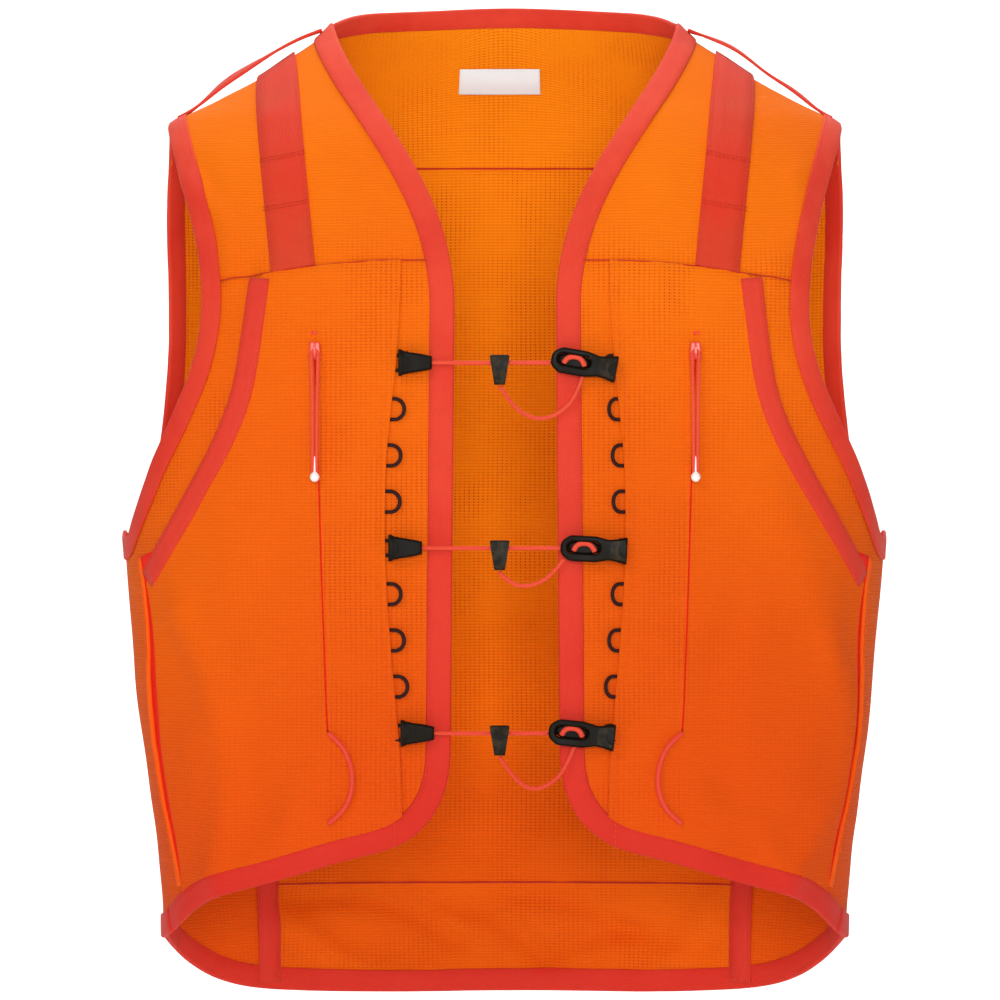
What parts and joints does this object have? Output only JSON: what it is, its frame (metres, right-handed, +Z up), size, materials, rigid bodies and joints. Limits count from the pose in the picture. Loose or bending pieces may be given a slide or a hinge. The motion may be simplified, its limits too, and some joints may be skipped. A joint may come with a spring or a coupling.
{
  "type": "mesh vest",
  "caption": "Sleeveless open-front mesh vest with bound edges, zipped chest pockets and elastic cord closures on loop ladders.",
  "frame": {"origin": "middle of the neck opening at the height of the neck sides, where the shoulders carry the vest", "axes": "+Z up along the body, -Y to the front, +X to the right as seen from the front"},
  "size_m": [0.428, 0.2425, 0.5686],
  "materials": {
    "mesh_orange": "matte",
    "binding_coral": "satin",
    "tape_coral": "matte",
    "zip_coral": "satin",
    "ladder_cord_black": "matte",
    "elastic_cord_coral": "satin",
    "plastic_black": "satin",
    "bead_white": "gloss",
    "label_white": "matte"
  },
  "bodies": {
    "vest": {"back_yoke": "mesh_orange", "back_panel": "mesh_orange", "lower_back_panel": "mesh_orange", "back_neck_binding": "binding_coral", "back_hem_binding": "binding_coral", "size_label": "label_white", "front_yoke_left": "mesh_orange", "front_yoke_right": "mesh_orange", "front_panel_left": "mesh_orange", "front_panel_right": "mesh_orange", "side_panel_left": "mesh_orange", "side_panel_right": "mesh_orange", "armhole_binding_left": "binding_coral", "armhole_binding_right": "binding_coral", "front_edge_binding_left": "binding_coral", "front_edge_binding_right": "binding_coral", "placket_left": "mesh_orange", "placket_right": "mesh_orange", "pocket_panel_left": "mesh_orange", "pocket_panel_right": "mesh_orange", "pocket_side_panel_left": "mesh_orange", "pocket_side_panel_right": "mesh_orange", "chest_tape_left": "tape_coral", "chest_tape_right": "tape_coral", "shoulder_webbing_left": "tape_coral", "shoulder_webbing_right": "tape_coral", "zip_coil_left": "zip_coral", "zip_coil_right": "zip_coral", "side_pocket_binding_left": "binding_coral", "side_pocket_binding_right": "binding_coral", "inner_tape_left": "tape_coral", "inner_tape_right": "tape_coral", "shoulder_strap_left": "tape_coral", "shoulder_strap_right": "tape_coral", "loop_ladder_left": "ladder_cord_black", "loop_ladder_right": "ladder_cord_black", "elastic_loop_left": "elastic_cord_coral", "elastic_loop_right": "elastic_cord_coral"},
    "closure_top": {"hook_top": "plastic_black", "closure_cord_top": "elastic_cord_coral", "buckle_top": "plastic_black", "slack_cord_top": "elastic_cord_coral"},
    "keeper_top": {"keeper_top": "plastic_black"},
    "closure_middle": {"hook_middle": "plastic_black", "closure_cord_middle": "elastic_cord_coral", "buckle_middle": "plastic_black", "slack_cord_middle": "elastic_cord_coral"},
    "keeper_middle": {"keeper_middle": "plastic_black"},
    "closure_bottom": {"hook_bottom": "plastic_black", "closure_cord_bottom": "elastic_cord_coral", "buckle_bottom": "plastic_black", "slack_cord_bottom": "elastic_cord_coral"},
    "keeper_bottom": {"keeper_bottom": "plastic_black"},
    "zip_slider_left": {"zip_slider_left": "zip_coral"},
    "zip_pull_left": {"zip_pull_cord_left": "elastic_cord_coral", "zip_bead_left": "bead_white"},
    "zip_slider_right": {"zip_slider_right": "zip_coral"},
    "zip_pull_right": {"zip_pull_cord_right": "elastic_cord_coral", "zip_bead_right": "bead_white"}
  },
  "joints": [
    {"name": "closure_top_swing", "type": "hinge", "parent": "vest", "child": "closure_top", "pos_m": [0.05967, -0.11513, -0.1906], "axis": [0, 0, 1], "range_deg": [0, 90], "deforming": ["loop_ladder_right"]},
    {"name": "keeper_top_slide", "type": "slide", "parent": "closure_top", "child": "keeper_top", "axis": [1, 0, 0], "range_m": [-0.018, 0.019], "deforming": ["slack_cord_top"]},
    {"name": "closure_middle_swing", "type": "hinge", "parent": "vest", "child": "closure_middle", "pos_m": [0.06504, -0.11502, -0.291], "axis": [0, 0, 1], "range_deg": [0, 90], "deforming": ["loop_ladder_right"]},
    {"name": "keeper_middle_slide", "type": "slide", "parent": "closure_middle", "child": "keeper_middle", "axis": [1, 0, 0], "range_m": [-0.007, 0.019], "deforming": ["slack_cord_middle"]},
    {"name": "closure_bottom_swing", "type": "hinge", "parent": "vest", "child": "closure_bottom", "pos_m": [0.05849, -0.1131, -0.3914], "axis": [0, 0, 1], "range_deg": [0, 90], "deforming": ["loop_ladder_right"]},
    {"name": "keeper_bottom_slide", "type": "slide", "parent": "closure_bottom", "child": "keeper_bottom", "axis": [1, 0, 0], "range_m": [-0.016, 0.018], "deforming": ["slack_cord_bottom"]},
    {"name": "zip_left_run", "type": "slide", "parent": "vest", "child": "zip_slider_left", "axis": [0.0333, 0, -0.9994], "range_m": [0, 0.176]},
    {"name": "zip_pull_left_swing", "type": "hinge", "parent": "zip_slider_left", "child": "zip_pull_left", "pos_m": [-0.10337, -0.11226, -0.1839], "axis": [1, 0, 0], "range_deg": [-100, 0]},
    {"name": "zip_right_run", "type": "slide", "parent": "vest", "child": "zip_slider_right", "axis": [-0.0333, 0, -0.9994], "range_m": [0, 0.176]},
    {"name": "zip_pull_right_swing", "type": "hinge", "parent": "zip_slider_right", "child": "zip_pull_right", "pos_m": [0.10337, -0.11226, -0.1839], "axis": [1, 0, 0], "range_deg": [-100, 0]}
  ]
}
